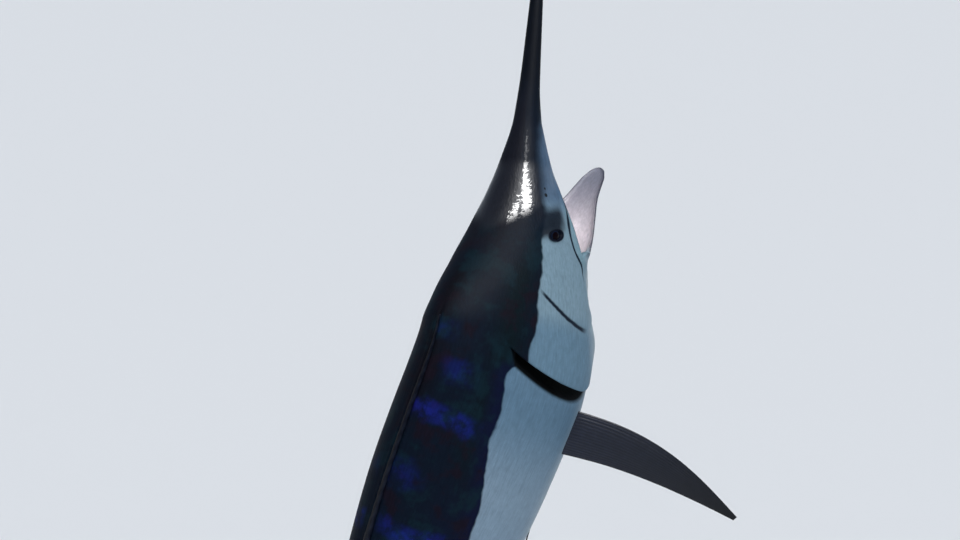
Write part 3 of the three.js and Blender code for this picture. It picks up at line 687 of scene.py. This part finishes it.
# Blue marlin skin: smooth, wet, with fine bony scales sunk in it; black and cobalt above, silver blue below
def skinMaterial():
    material, add = emptied(bpy.data.materials.new("wetFishSkin"))
    flesh = add("Attribute", attribute_name="flesh").outputs["Vector"]
    factor = {name: add("Attribute", attribute_name=name).outputs["Fac"] for name in (
        "cheekLine", "cheekShare", "lipSeam", "lipShare", "edgeWidth", "backness", "barNumber", "barShare",
        "barWidth", "inside", "shine", "cloudy")}
    dark, pale = [add("Attribute", attribute_name=name).outputs["Color"]
                  for name in ("darkTint", "paleTint")]
    noise = {name: add("TexNoise", {
        "Vector": flesh, "Scale": scale, "Detail": detail, "Roughness": roughness})
        for name, (scale, detail, roughness) in skinNoise.items()}
    wave = add("Math", {0: noise["waves"], 1: 0.9, 2: -0.45}, **timesPlus)
    # the wavy edge of the back
    edge = add("Math", {0: wave, 1: 0.8, 2: factor["backness"]}, **timesPlus)
    edge = add("Math", {0: edge, 1: factor["edgeWidth"]}, operation="DIVIDE")
    isBack = add("MapRange", {"Value": edge, "From Min": -1, "From Max": 1}, **smooth)
    # cobalt bars that fray a little
    phase = add("Math", {0: wave, 1: 0.45, 2: factor["barNumber"]}, **timesPlus)
    phase = add("Math", {0: phase, 1: 0.5, 2: -0.5}, operation="WRAP")
    phase = add("Math", {0: phase}, operation="ABSOLUTE")
    phase = add("Math", {0: phase, 1: factor["barWidth"]}, operation="DIVIDE")
    bar = add("MapRange", {"Value": phase, "From Min": 1.0, "From Max": 0.1}, **smooth)
    bar = add("Math", {0: bar, 1: factor["barShare"]}, **times)
    patchy = add("MapRange", {
        "Value": noise["spots"], "From Min": 0.38, "From Max": 0.64, "To Min": 0.2, "To Max": 1.3}, **smooth)
    bar = add("Math", {0: bar, 1: patchy}, operation="MULTIPLY", use_clamp=True)
    for name, low, high in (("tealCloud", 0.48, 0.62), ("plumCloud", 0.46, 0.34)):
        cloud = add("MapRange", {
            "Value": noise["clouds"], "From Min": low, "From Max": high, "To Max": 0.75}, **smooth)
        cloud = add("Math", {0: cloud, 1: factor["cloudy"]}, **times)
        dark = add("Mix", {0: cloud, 6: dark, 7: linear(skinColours[name])}, **colourMix)
    dark = add("Mix", {0: bar, 6: dark, 7: linear(skinColours["bar"])}, **colourMix)
    colour = add("Mix", {0: isBack, 6: pale, 7: dark}, **colourMix)
    # painted shade: dark lines along the grooves of the cheek and the upper jaw, the dark of the gill slit
    # and of the nostrils
    shadeMarks = []
    for distance, share, width in (("cheekLine", "cheekShare", 0.26), ("lipSeam", "lipShare", 0.22)):
        near = add("Math", {0: factor[distance]}, operation="ABSOLUTE")
        line = add("MapRange", {"Value": near, "From Min": width, "From Max": 0.3 * width}, **smooth)
        line = add("Math", {0: line, 1: factor[share]}, **times)
        shadeMarks.append((line, "crease"))
    shadeMarks.append((factor["inside"], "recessShade"))
    # the nostrils' pits are dark spots of painted shade
    for at, width, turn in [(at, width, turn) for turn in (12, 168) for at, width in nostrils]:
        pit = bodyPoint(at, turn) * (1, -1, 1) * unit
        reach = add("VectorMath", {0: flesh, 1: pit}, operation="DISTANCE")
        spot = add("MapRange", {
            "Value": reach, "From Min": width * 1.6 * unit, "From Max": width * unit}, **smooth)
        shadeMarks.append((spot, "recessShade"))
    for share, name in shadeMarks:
        colour = add("Mix", {0: share, 6: colour, 7: linear(skinColours[name])}, **colourMix)
    lengthened = add("Mapping", {"Vector": flesh, "Scale": (1, splint["lengthwise"], 1)})
    splints = add("TexVoronoi", {
        "Vector": lengthened, "Scale": splint["number"], "Smoothness": 0.5}, feature="SMOOTH_F1")
    fine = add("TexNoise", {"Vector": lengthened, "Scale": splint["fine"], "Detail": 3})
    tone = add("Math", {0: splints, 1: fine}, operation="ADD")
    speckle = add("MapRange", {
        "Value": tone, "From Min": 0.5, "From Max": 1.5, "To Min": 1.1, "To Max": 0.88})
    broad = add("MapRange", {
        "Value": noise["blotches"], "From Min": 0.2, "From Max": 0.8, "To Min": 0.88, "To Max": 1.12})
    shade = add("Math", {0: speckle, 1: broad}, **times)
    colour = add("VectorMath", {0: colour, "Scale": shade}, operation="SCALE")
    height = add("Math", {0: noise["waves"], 1: 2.0, 2: tone}, **timesPlus)
    bump = add("Bump", {"Strength": 0.25, "Distance": 0.0012, "Height": height})
    wet = add("Bump", {"Strength": 0.5, "Distance": 0.0016, "Height": noise["dimples"]})
    dull = add("Math", {0: factor["shine"], 1: -0.14, 2: 0.5}, **timesPlus)
    rough = add("Math", {0: noise["blotches"], 1: 0.1, 2: dull}, **timesPlus)
    film = add("Math", {0: factor["shine"], 1: 0.85}, **times)
    gloss = add("Math", {0: factor["shine"], 1: 0.35, 2: 0.06}, **timesPlus)
    surface = add("BsdfPrincipled", {
        "Base Color": colour, "Roughness": rough, "Normal": bump, "IOR": 1.36,
        "Specular IOR Level": gloss, "Coat Weight": film, "Coat Roughness": 0.06, "Coat IOR": 1.4,
        "Coat Normal": wet, "Subsurface Weight": 0.06, "Subsurface Radius": (0.006, 0.004, 0.003),
        "Subsurface Scale": 1.0,
    })
    add("OutputMaterial", {"Surface": surface})
    return material


def makeSkin():
    # columns of the upper sheet are closer together at the level of the eyes
    share = np.linspace(0, 1, 2001)
    closerAt, reach = skinRows["closerAt"], skinRows["closerReach"]
    near = hump(share, closerAt, reach) + hump(share, 1 - closerAt, reach)
    density = 1 + skinRows["closer"] * near
    walked = np.concatenate([[0], np.cumsum(density[1:] + density[:-1])])
    topColumns = np.interp(np.linspace(0, walked[-1], skinRows["top"] + 1), walked, share)
    bellyColumns, palateColumns, floorColumns = [
        np.linspace(0, 1, skinRows[key] + 1) for key in ("belly", "palate", "floor")]
    inner = np.append(rows[rows < mouth["gullet"] - 0.3], mouth["gullet"])
    sheets = [
        outerSheet("upperSkin", rows, topColumns, False),
        outerSheet("lowerSkin", rows[rows > -1e-9], bellyColumns, True),
        innerSheet("palate", inner, palateColumns, False),
        innerSheet("jawFloor", inner[inner > -1e-9], floorColumns, True),
    ]
    for mesh, data in sheets:
        markSheet(mesh, data)
    finishPiece(joined("marlinSkin", [mesh for mesh, data in sheets]), skinMaterial(), [
        "bill", "head", "lower_jaw", "gill_cover_right", "gill_cover_left",
        "trunk_front", "trunk_middle", "trunk_rear", "tail_stock"])


makeSkin()
print("skin made")


# Eyes: a wet, almost black ball with a maroon pupil and a faint blue-grey iris
eyeColours = {"pupil": "#0a0408", "iris": "#0c1322", "irisRim": "#121d30", "outer": "#04060c"}


def eyeMaterial():
    material, add = emptied(bpy.data.materials.new("wetEye"))
    away = add("Attribute", attribute_name="fromPupil").outputs["Fac"]
    around = add("Attribute", attribute_name="spoke").outputs["Vector"]
    threads = add("TexNoise", {"Vector": around, "Scale": 9, "Detail": 4})
    away = add("Math", {0: threads, 1: 0.05, 2: away}, **timesPlus)
    ramp = add("ValToRGB", {"Fac": away})
    pupil, iris = eye["pupil"], eye["iris"]
    stops = [(0, "pupil"), (pupil - 0.03, "pupil"), (pupil + 0.03, "irisRim"), (pupil + 0.1, "iris"),
             (iris, "iris"), (iris + 0.1, "outer")]
    for place, name in stops[2:]:
        ramp.color_ramp.elements.new(place)
    for element, (place, name) in zip(ramp.color_ramp.elements, stops):
        element.position = place
        element.color = linear(eyeColours[name])
    surface = add("BsdfPrincipled", {
        "Base Color": ramp, "Roughness": 0.2, "IOR": 1.34, "Specular IOR Level": 0.08,
        "Coat Weight": 0.03, "Coat Roughness": 0.03, "Coat IOR": 1.34})
    add("OutputMaterial", {"Surface": surface})
    return material


def makeEyes():
    material = eyeMaterial()
    for side, name, node in ((1, "eyeRight", "eye_right"), (-1, "eyeLeft", "eye_left")):
        seat, out = eyeSeat(side)
        shape = bmesh.new()
        bmesh.ops.create_uvsphere(shape, u_segments=64, v_segments=40, radius=1)
        turn = Vector((0, 0, 1)).rotation_difference(Vector(out))
        bmesh.ops.rotate(shape, verts=shape.verts, matrix=turn.to_matrix())
        mesh, ball = meshFrom(name, shape)
        gaze = out + np.array(eye["gaze"])
        gaze = gaze / np.linalg.norm(gaze)
        facing = np.clip(ball @ gaze, -1, 1)
        away = np.arccos(facing) * eye["radius"]
        bulge = 1 + eye["cornea"] * hump(away, 0, 0.55)
        middle = seat - np.array([0, eye["setBack"], 0]) - out * eye["sunk"]
        setPlaces(mesh, posed(middle + ball * (eye["radius"] * bulge)[:, None]))
        setAttribute(mesh, "fromPupil", away)
        spoke = ball - facing[:, None] * gaze
        setAttribute(mesh, "spoke", spoke / np.maximum(np.linalg.norm(spoke, axis=1), 1e-6)[:, None])
        finishPiece(joined(name, [mesh]), material, [node])


makeEyes()
print("eyes made")


# Fins: thin closed blades; u runs from the leading to the trailing edge, v from the root to the tip
finWall = 0.02  # half the thickness at the edges, 0.5 mm
finEdge = 0.03  # the share of a fin's width over which each edge is rounded
rootSunk = 0.5  # how deep a fin's root goes under the skin


def arc(a, b, c, t):
    u = 1 - t
    return [u * u * a[i] + 2 * u * t * b[i] + t * t * c[i] for i in (0, 1)]


def bladeMesh(name, rayCount, columns, rowCount, rule, ridge):
    around = np.linspace(0, 1, 2 * columns + 1)
    v = np.concatenate([[0], np.linspace(0, 1, rowCount + 1), [1]])
    closing = np.ones(len(v))
    closing[[0, -1]] = 0
    mesh, i, j = gridMesh(name, v, around)
    turn = around[j]
    u = 0.5 - 0.5 * np.cos(np.pi * np.minimum(turn, 1 - turn) * 2)
    face = np.where(turn < 0.5, 1.0, -1.0)
    edge = np.minimum(u, 1 - u) / finEdge
    ray = 0.5 + 0.5 * np.cos(2 * np.pi * rayCount * u)
    extra = ridge * ray * np.clip(edge / 3, 0, 1) * (1 - 0.6 * v[i])
    points = rule(u, v[i], face, dome(edge) * closing[i], extra)
    setPlaces(mesh, posed(points))
    flesh = points * (1, -1, 1) * unit
    for item, values in (("flesh", flesh), ("ray", ray), ("tipward", v[i]), ("under", face < 0)):
        setAttribute(mesh, item, values)
    return mesh


# Fin skin: thin, leathery, dark membrane over close bony rays, satin when wet
finColours = {"membrane": "#0d1220", "ray": "#1a2030", "edge": "#07090f", "pale": "#4c5a6a"}


def finMaterial(name, paleUnder):
    material, add = emptied(bpy.data.materials.new(name))
    flesh = add("Attribute", attribute_name="flesh").outputs["Vector"]
    ray, tipward, under = [add("Attribute", attribute_name=item).outputs["Fac"]
                           for item in ("ray", "tipward", "under")]
    mottle = add("TexNoise", {"Vector": flesh, "Scale": 70, "Detail": 5, "Roughness": 0.6})
    below = add("Math", {0: under, 1: paleUnder}, **times)
    colour = linear(finColours["membrane"])
    for share, name in ((ray, "ray"), (below, "pale"), (tipward, "edge")):
        colour = add("Mix", {0: share, 6: colour, 7: linear(finColours[name])}, **colourMix)
    shade = add("MapRange", {
        "Value": mottle, "From Min": 0.25, "From Max": 0.75, "To Min": 0.75, "To Max": 1.25})
    colour = add("VectorMath", {0: colour, "Scale": shade}, operation="SCALE")
    bump = add("Bump", {"Strength": 0.3, "Distance": 0.001, "Height": mottle})
    surface = add("BsdfPrincipled", {
        "Base Color": colour, "Roughness": 0.36, "Normal": bump, "IOR": 1.4,
        "Coat Weight": 0.3, "Coat Roughness": 0.15, "Coat IOR": 1.33})
    add("OutputMaterial", {"Surface": surface})
    return material


# A fin on the middle line of the back (up 1) or the belly (up -1), from a height and a lean along it
def sail(begin, end, height, lean, sway=0.0, thick=0.3, up=1):
    crest = top if up > 0 else bottom

    def rule(u, v, face, round, extra):
        at = mix(begin, end, u)
        tall = height(u)
        x = sway * v * np.sin(u * np.pi * 2.2) * tall
        body = thick * np.sin(np.pi * mix(0.08, 0.92, u)) * (1 - v ** 0.7)
        out = (finWall + body + extra) * round * face
        stand = tall * v - rootSunk * (1 - ease(0, 0.25, v))
        return np.stack([x + out, -(at + lean(u) * np.maximum(stand, 0)), crest(at) + up * stand], -1)

    return rule


pectoral = {"at": 25.6, "angle": -36, "droop": 38, "thick": 0.3,
            "lead": [(0, 0), (9, -0.6), (18, 3)], "trail": [(0, 4.1), (6, 2.5), (17.8, 3.4)]}
pelvic = {"at": 27, "angle": -80, "droop": 62, "thick": 0.14,
          "lead": [(0, 0), (0.9, 7), (1.6, 14)], "trail": [(0, 1), (0.7, 7), (1.5, 14.1)]}
lobe = {"lead": [(96.55, 2.3), (99.5, 14.5), (112.5, 25)], "root": 96.5, "rootPart": 0.14, "thick": 0.6,
        "trail": [(100, 0.03), (104.5, 10.5), (112.7, 24.8)]}


# A swept blade on a plane that droops from the fish's side
def pairedFin(side, fin):
    root = bodyPoint(fin["at"], fin["angle"], 0)
    droop = math.radians(fin["droop"])
    out = np.array([math.cos(droop), 0, -math.sin(droop)])

    def rule(u, v, face, round, extra):
        a, b = arc(*fin["lead"], v), arc(*fin["trail"], v)
        body = fin["thick"] * np.sin(np.pi * mix(0.1, 0.92, u)) * (1 - v) ** 0.8
        thick = (finWall + body + extra) * round * face
        reach = mix(a[0], b[0], u) - rootSunk * (1 - ease(0, 0.2, v))
        p = root + out * reach[:, None]
        p[:, 1] -= mix(a[1], b[1], u)
        p[:, 0] += thick * math.sin(droop)
        p[:, 2] += thick * math.cos(droop)
        return p * (side, 1, 1)

    return rule


def tailLobe(up):
    def rule(u, v, face, round, extra):
        part = lobe["rootPart"]
        t, r = np.clip((v - part) / (1 - part), 0, 1), np.clip(v / part, 0, 1)
        front, rear = arc(*lobe["lead"], v), arc(*lobe["trail"], t)
        rearAt = np.where(v < part, mix(lobe["root"], lobe["trail"][0][0], r), rear[0])
        rearUp = np.where(v < part, lobe["trail"][0][1], rear[1])
        at, z = mix(front[0], rearAt, u), mix(front[1], rearUp, u)
        body = np.sin(np.pi * np.clip(u * 0.9 + 0.05, 0, 1)) ** 0.7
        out = finWall + lobe["thick"] * body * (1 - v) ** 1.6 * (1 - 0.75 * r * u) + extra
        return np.stack([out * round * face, -at, up * z], -1)

    return rule


# The first dorsal fin lies folded, with the tips of its spines as a saw edge
def foldedHeight(u):
    saw = 1 - 0.12 * ((u * 38) % 1)
    return saw * (0.12 + 0.38 * ease(0, 0.12, u) + 0.55 * between(u, 0.3, 0.6, 0.75, 1))


# A small fin on the middle line that rises steeply and trails off
def trailingFin(begin, end, tall, up):
    def height(u):
        return tall * ease(0, 0.22, u) * (1 - 0.82 * ease(0.2, 0.9, u)) + 0.05

    return sail(begin, end, height, lambda u: 1.1 + 0.9 * u, thick=0.22, up=up)


def makeFins():
    dark, lighter = finMaterial("wetFin", 0), finMaterial("wetFinPaleBelow", 0.6)
    analHeight = lambda u: 9.5 * ease(-0.03, 0.2, u) * (1 - 0.86 * ease(0.12, 0.75, u))
    # piece, node, rays, columns, rows, how far the rays stand out, material, rule
    plan = [
        ("firstDorsalFin", "first_dorsal_fin", 38, 228, 8, 0.02, dark, sail(
            20.4, 75, foldedHeight, lambda u: 1.5, 0.1, 0.2)),
        ("secondDorsalFin", "second_dorsal_fin", 7, 42, 14, 0.04, dark, trailingFin(80.3, 86, 3.4, 1)),
        ("firstAnalFin", "first_anal_fin", 13, 78, 26, 0.05, dark, sail(
            60.5, 74.5, analHeight, lambda u: 0.95, up=-1)),
        ("secondAnalFin", "second_anal_fin", 7, 42, 14, 0.04, dark, trailingFin(79, 84.6, 3.2, -1)),
        ("tailLobeUpper", "tail_lobe_upper", 15, 80, 60, 0.05, dark, tailLobe(1)),
        ("tailLobeLower", "tail_lobe_lower", 15, 80, 60, 0.05, dark, tailLobe(-1)),
    ]
    for side, word in ((1, "Right"), (-1, "Left")):
        for kind, fin, *counts, material in (
                ("pectoral", pectoral, 16, 80, 60, 0.05, lighter), ("pelvic", pelvic, 2, 24, 50, 0.03, dark)):
            node = kind + "_fin_" + word.lower()
            plan.append((kind + "Fin" + word, node, *counts, material, pairedFin(side, fin)))
    for name, node, rays, columns, rowCount, ridge, material, rule in plan:
        mesh = bladeMesh(name, rays, columns, rowCount, rule, ridge)
        finishPiece(joined(name, [mesh]), material, [node])


makeFins()
print("fins made")


standFinishes = {
    # Stand board: painted hardwood, satin black with faint brush marks and a little grain showing through
    "paintedHardwood": {
        "nodes": ["stand_base"], "metallic": 0, "stretch": (1, 14, 14), "scale": 6, "detail": 6,
        "tones": ("#141517", "#1f2022"), "strength": 0.2, "relief": 0.0006, "roughness": (0.34, 0.46),
    },
    # Rods: brushed stainless steel tube, with fine rings of the brush round it
    "brushedSteel": {
        "nodes": ["stand_rod_front", "stand_rod_rear"], "metallic": 1, "stretch": (6, 6, 900), "scale": 1,
        "detail": 3, "tones": ("#9fa3a5", "#c9cccd"), "strength": 0.15, "relief": 0.0002,
        "roughness": (0.24, 0.36),
    },
}


# The stand's nodes keep their shapes and get a finish with a stretched grain
def finishStand(name, finish):
    material, add = emptied(bpy.data.materials.new(name))
    where = add("TexCoord").outputs["Object"]
    stretched = add("Mapping", {"Vector": where, "Scale": finish["stretch"]})
    grain = add("TexNoise", {"Vector": stretched, "Scale": finish["scale"], "Detail": finish["detail"]})
    colour = add("Mix", {
        0: grain, 6: linear(finish["tones"][0]), 7: linear(finish["tones"][1])}, **colourMix)
    bump = add("Bump", {"Strength": finish["strength"], "Distance": finish["relief"], "Height": grain})
    smoother, rougher = finish["roughness"]
    rough = add("MapRange", {
        "Value": grain, "From Min": 0.3, "From Max": 0.7, "To Min": smoother, "To Max": rougher})
    surface = add("BsdfPrincipled", {
        "Base Color": colour, "Metallic": finish["metallic"], "Roughness": rough, "Normal": bump})
    add("OutputMaterial", {"Surface": surface})
    for node in finish["nodes"]:
        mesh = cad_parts[node].data
        mesh.materials.clear()
        mesh.materials.append(material)


for name, finish in standFinishes.items():
    finishStand(name, finish)
print("stand finished")


# Camera: the photo's framing, 10 degrees above the level of the jaw's tip
camera = {
    "distance": 600, "elevation": 10, "pixelsPerUnit": 10.349, "sensor": 36, "width": 960, "height": 540,
    "tipX": 526.9, "tipY": 121.9,  # the closed jaw's tip in the photo, in pixels
}


def makeCamera():
    distance = camera["distance"] * unit
    rise = math.radians(camera["elevation"])
    toCamera = Vector((0, -math.cos(rise), math.sin(rise)))
    across = Vector((1, 0, 0))
    upward = toCamera.cross(across)
    perPixel = unit / camera["pixelsPerUnit"]
    moveX = (camera["width"] / 2 - camera["tipX"]) * perPixel
    moveY = (camera["tipY"] - camera["height"] / 2) * perPixel
    tip = Vector(place)
    target = tip + across * moveX + upward * moveY
    lens = bpy.data.cameras.new("photoView")
    lens.sensor_width = camera["sensor"]
    lens.lens = distance / perPixel * camera["sensor"] / camera["width"]
    lens.clip_end = 3000
    seen = addObject("photoView", lens)
    seen.location = tip + toCamera * distance
    seen.rotation_euler = (target - seen.location).to_track_quat("-Z", "Y").to_euler()
    scene.camera = seen


makeCamera()

# Light: a pale surround that darkens overhead, two broad suns, and two softboxes whose reflections are the
# bright patches on the forehead
light = {
    "horizon": "#cfdcec", "overhead": "#9db3d8", "horizonStrength": 0.4, "overheadStrength": 0.14,
    # suns, which light but don't glint: strength, direction
    "suns": [(2.3, (0.3, -0.75, 0.6)), (1.3, (0, 0, 1))], "sunAngle": 40,
    # softboxes, which glint but don't light: power, size, direction
    "boxes": [(330, (2.4, 0.8), (0.25, -0.34, 0.9)), (100, (1.2, 0.5), (-0.13, -0.19, 0.97))],
    "boxDistance": 4.0,
    "floor": "#e4e7ea", "floorHalf": 600,
}


def makeLight():
    world, add = emptied(bpy.data.worlds.new("studio"))
    where = add("TexCoord").outputs["Generated"]
    height = add("SeparateXYZ", {0: where}).outputs["Z"]
    share = add("MapRange", {"Value": height, "From Min": 0.05, "From Max": 0.75}, **smooth)
    colour = add("Mix", {0: share, 6: linear(light["horizon"]), 7: linear(light["overhead"])}, **colourMix)
    strength = add("MapRange", {
        "Value": share, "To Min": light["horizonStrength"], "To Max": light["overheadStrength"]})
    shine = add("Background", {"Color": colour, "Strength": strength})
    add("OutputWorld", {"Surface": shine})
    scene.world = world
    for strength, direction in light["suns"]:
        sun = bpy.data.lights.new("sun", "SUN")
        sun.energy = strength
        sun.angle = math.radians(light["sunAngle"])
        lamp = addObject("sun", sun)
        lamp.rotation_euler = Vector(direction).to_track_quat("Z", "Y").to_euler()
        lamp.visible_glossy = False
    forehead = Vector(posed(bodyPoint(7, 45)))
    for power, size, direction in light["boxes"]:
        box = bpy.data.lights.new("softbox", "AREA")
        box.shape = "RECTANGLE"
        box.size, box.size_y = size
        box.energy = power
        soft = addObject("softbox", box)
        soft.location = forehead + Vector(direction).normalized() * light["boxDistance"]
        soft.rotation_euler = (soft.location - forehead).to_track_quat("Z", "Y").to_euler()
        soft.visible_diffuse = False


# Floor: a wide sheet of matt pale paper
def makeFloor():
    shape = bmesh.new()
    bmesh.ops.create_grid(shape, x_segments=1, y_segments=1, size=light["floorHalf"])
    mesh = meshFrom("floor", shape)[0]
    floor = addObject("floor", mesh)
    material, add = emptied(bpy.data.materials.new("palePaper"))
    surface = add("BsdfPrincipled", {"Base Color": linear(light["floor"]), "Roughness": 0.9})
    add("OutputMaterial", {"Surface": surface})
    mesh.materials.append(material)


makeLight()
makeFloor()
scene.view_settings.view_transform = "Standard"
print("camera, light and floor made")
